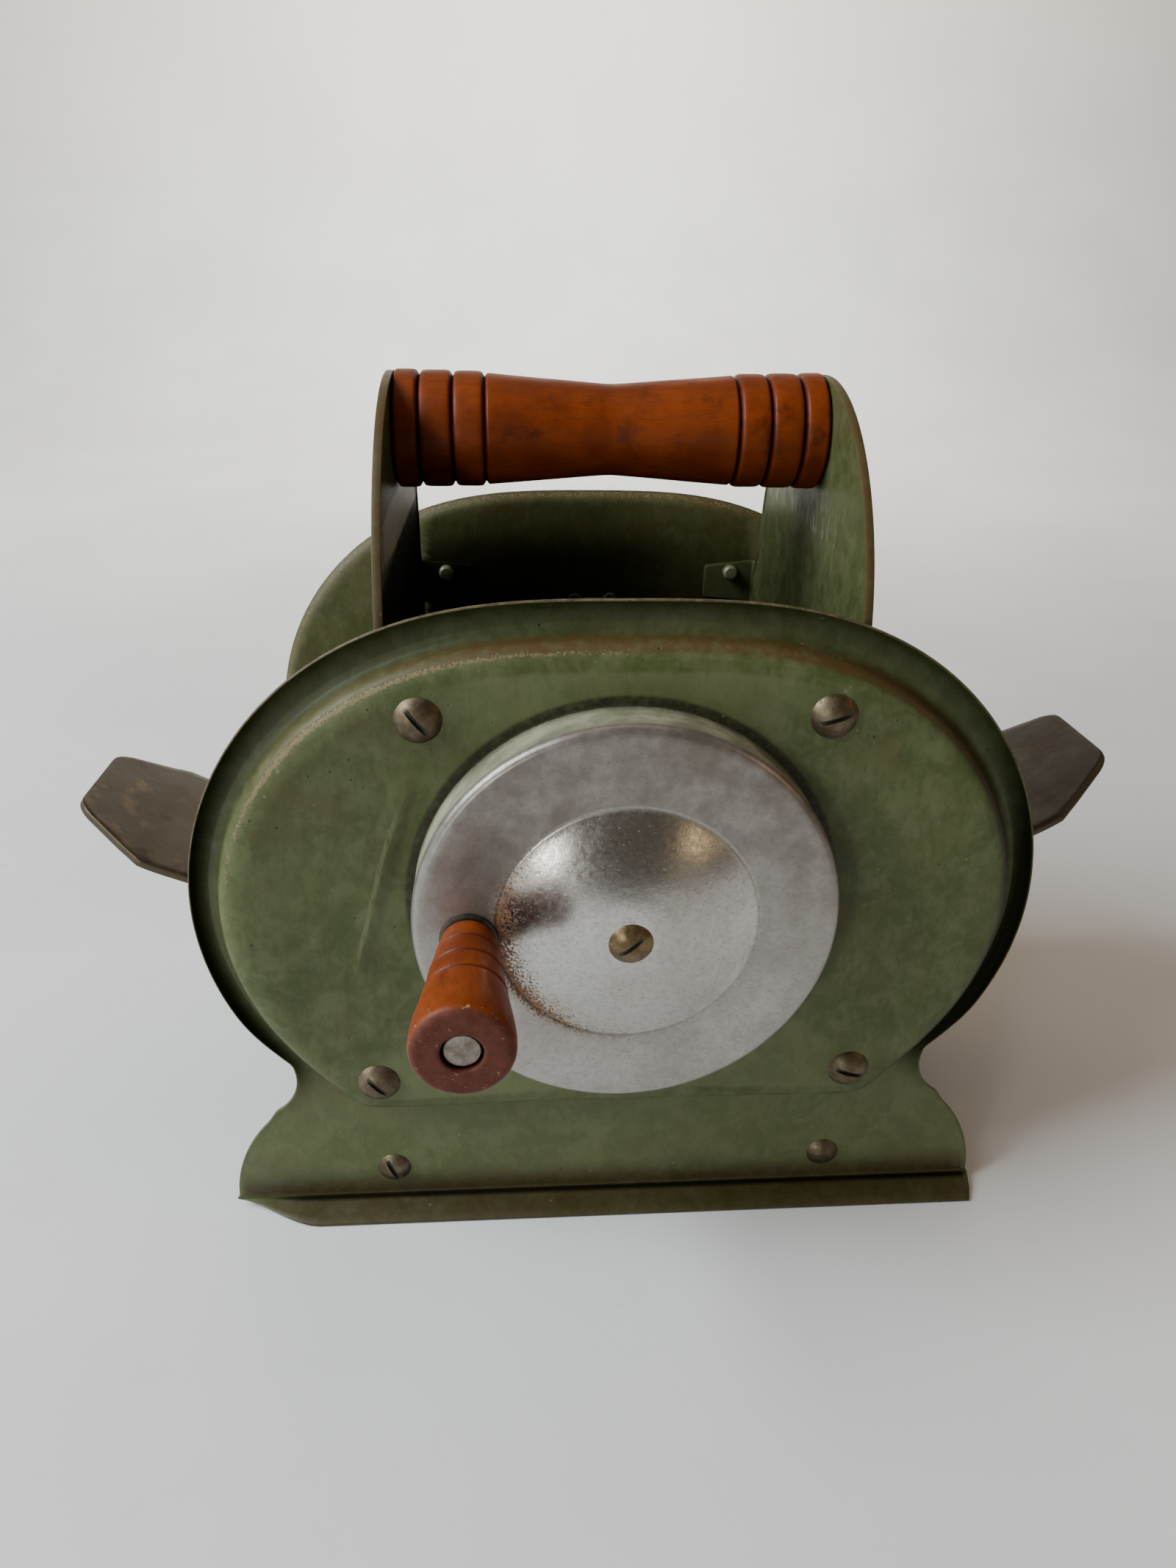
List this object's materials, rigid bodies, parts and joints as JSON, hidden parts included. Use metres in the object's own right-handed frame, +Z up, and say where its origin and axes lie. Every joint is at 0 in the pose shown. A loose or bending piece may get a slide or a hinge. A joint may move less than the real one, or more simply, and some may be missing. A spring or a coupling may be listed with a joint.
{
  "type": "hand crank table-top grinder",
  "caption": "Table-top hand crank grinder with stamped sheet end plates, a crank wheel with a turned knob, a toothed drum, a turned carrying grip and two thumb levers.",
  "frame": {"origin": "on the table, under the middle of the overall box, in the plane midway between the cheeks", "axes": "+Z up, +Y away from the crank wheel along the crank axis, +X to the right as seen from the crank side"},
  "size_m": [0.2714, 0.185, 0.2025],
  "materials": {
    "green_enamel": "matt mottled olive green enamel, worn along edges",
    "plated_steel": "dull nickel plating with pits and rust specks",
    "varnished_wood": "amber varnish",
    "oxidised_steel": "browned",
    "dark_steel": "blackened",
    "bright_steel": "turned",
    "spring_steel": "bare tempered sheet, stained",
    "bearing_brass": "tarnished"
  },
  "bodies": {
    "housing": {"front_plate": "green_enamel", "back_plate": "green_enamel", "left_cheek": "green_enamel", "right_cheek": "green_enamel", "cheek_screws": "oxidised_steel", "grip": "varnished_wood", "grip_screws": "oxidised_steel", "hinge_rods": "dark_steel", "rod_screws": "oxidised_steel", "rod_spacers": "dark_steel", "friction_washers": "dark_steel", "foot_ties": "dark_steel", "foot_screws": "oxidised_steel", "front_bushing": "bearing_brass", "rear_bushing": "bearing_brass"},
    "crank": {"axle": "bright_steel", "wheel_hub": "bright_steel", "crank_wheel": "plated_steel", "wheel_screw": "bearing_brass", "knob_washer": "dark_steel", "knob_pin": "bright_steel", "cutter_discs": "bright_steel", "disc_spacers": "bright_steel", "drum_end_discs": "bright_steel", "thrust_washers": "bearing_brass", "axle_clip": "dark_steel"},
    "knob": {"crank_knob": "varnished_wood"},
    "left_lever": {"left_lever": "spring_steel"},
    "right_lever": {"right_lever": "spring_steel"}
  },
  "joints": [
    {"name": "crank_spin", "type": "hinge", "parent": "housing", "child": "crank", "pos_m": [0, 0, 0.0955], "axis": [0, 1, 0], "continuous": true},
    {"name": "knob_spin", "type": "hinge", "parent": "crank", "child": "knob", "pos_m": [-0.0344, -0.0725, 0.0935], "axis": [0, 1, 0], "continuous": true},
    {"name": "left_lever_tilt", "type": "hinge", "parent": "housing", "child": "left_lever", "pos_m": [-0.0577, 0.0215, 0.0452], "axis": [0, 1, 0], "range_deg": [-4.5, 13.7]},
    {"name": "right_lever_tilt", "type": "hinge", "parent": "housing", "child": "right_lever", "pos_m": [0.0577, 0.0215, 0.0452], "axis": [0, -1, 0], "range_deg": [-10, 8]}
  ]
}
